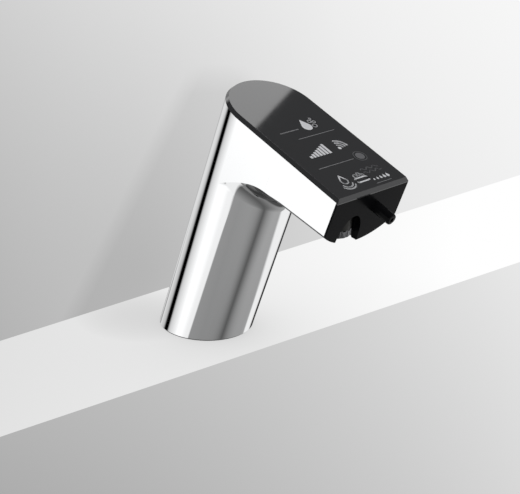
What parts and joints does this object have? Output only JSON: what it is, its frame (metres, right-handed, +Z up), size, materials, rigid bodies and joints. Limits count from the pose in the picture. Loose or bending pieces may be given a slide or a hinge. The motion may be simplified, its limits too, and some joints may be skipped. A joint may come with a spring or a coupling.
{
  "type": "sensor tap",
  "caption": "Leaning chromed deck tap with a black sensor cover, a water outlet with a screw-in aerator and a soap nozzle in its nose, and a deck fixing kit.",
  "frame": {"origin": "centre of the column's foot, on the deck's top", "axes": "+Z up from the deck; -Y towards the user, the way the head points; +X to the right of a user's view from the back, which is the soap nozzle's side"},
  "size_m": [0.052, 0.1607, 0.2233],
  "materials": {
    "body_shell": "polished",
    "sensor_cover": "high gloss",
    "cover_gasket": "matt",
    "nose_plate": "satin gloss",
    "nose_screws": "plain",
    "electronics_tray": "matt",
    "tray_screws": "plain",
    "sensor_board": "satin",
    "proximity_sensors": "gloss",
    "indicator_leds": "gloss",
    "light_wells": "matt",
    "board_connector": "satin",
    "outlet_block": "nickel-plated brass, dull",
    "block_screws": "plain",
    "aerator_ring": "polished",
    "aerator_insert": "satin",
    "aerator_screen": "fine mesh",
    "aerator_seal": "matt",
    "water_pipe": "copper, plain",
    "pipe_seals": "matt",
    "soap_nozzle": "gloss",
    "nozzle_grommet": "matt",
    "soap_pipe": "translucent look, drawn solid",
    "foot_plug": "machined",
    "foot_seal": "matt",
    "cable_grommet": "matt",
    "fixing_stud": "threaded look",
    "rubber_washer": "matt",
    "clamp_plate": "zinc-plated",
    "fixing_nut": "machined"
  },
  "bodies": {
    "tap": {"body_shell": "body_shell", "sensor_cover": "sensor_cover", "cover_gasket": "cover_gasket", "nose_plate": "nose_plate", "nose_screws": "nose_screws", "electronics_tray": "electronics_tray", "tray_screws": "tray_screws", "sensor_board": "sensor_board", "proximity_sensors": "proximity_sensors", "indicator_leds": "indicator_leds", "light_wells": "light_wells", "board_connector": "board_connector", "outlet_block": "outlet_block", "block_screws": "block_screws", "water_pipe": "water_pipe", "pipe_seals": "pipe_seals", "soap_nozzle": "soap_nozzle", "nozzle_grommet": "nozzle_grommet", "soap_pipe": "soap_pipe", "foot_plug": "foot_plug", "foot_seal": "foot_seal", "cable_grommet": "cable_grommet", "fixing_stud": "fixing_stud"},
    "clamp": {"rubber_washer": "rubber_washer", "clamp_plate": "clamp_plate"},
    "nut": {"fixing_nut": "fixing_nut"},
    "cartridge": {"aerator_insert": "aerator_insert", "aerator_screen": "aerator_screen", "aerator_seal": "aerator_seal"},
    "ring": {"aerator_ring": "aerator_ring"}
  },
  "joints": [
    {"name": "clamp_slide", "type": "slide", "parent": "tap", "child": "clamp", "axis": [0, 0, 1], "range_m": [-0.028, 0.017]},
    {"name": "nut_spin", "type": "hinge", "parent": "clamp", "child": "nut", "pos_m": [0, 0.0135, -0.0355], "axis": [0, 0, 1], "range_deg": [-8065, 4897]},
    {"name": "aerator_slide", "type": "slide", "parent": "tap", "child": "cartridge", "axis": [0, 0.1219, -0.9925], "range_m": [0, 0.0055]},
    {"name": "aerator_spin", "type": "hinge", "parent": "cartridge", "child": "ring", "pos_m": [-0.008, -0.1054, 0.08603], "axis": [0, 0.1219, -0.9925], "range_deg": [0, 1981]}
  ],
  "couplings": [
    {"joint": "nut_spin", "follows": "clamp_slide", "rad_per_m": 5026.5},
    {"joint": "aerator_spin", "follows": "aerator_slide", "rad_per_m": 6283.2}
  ]
}
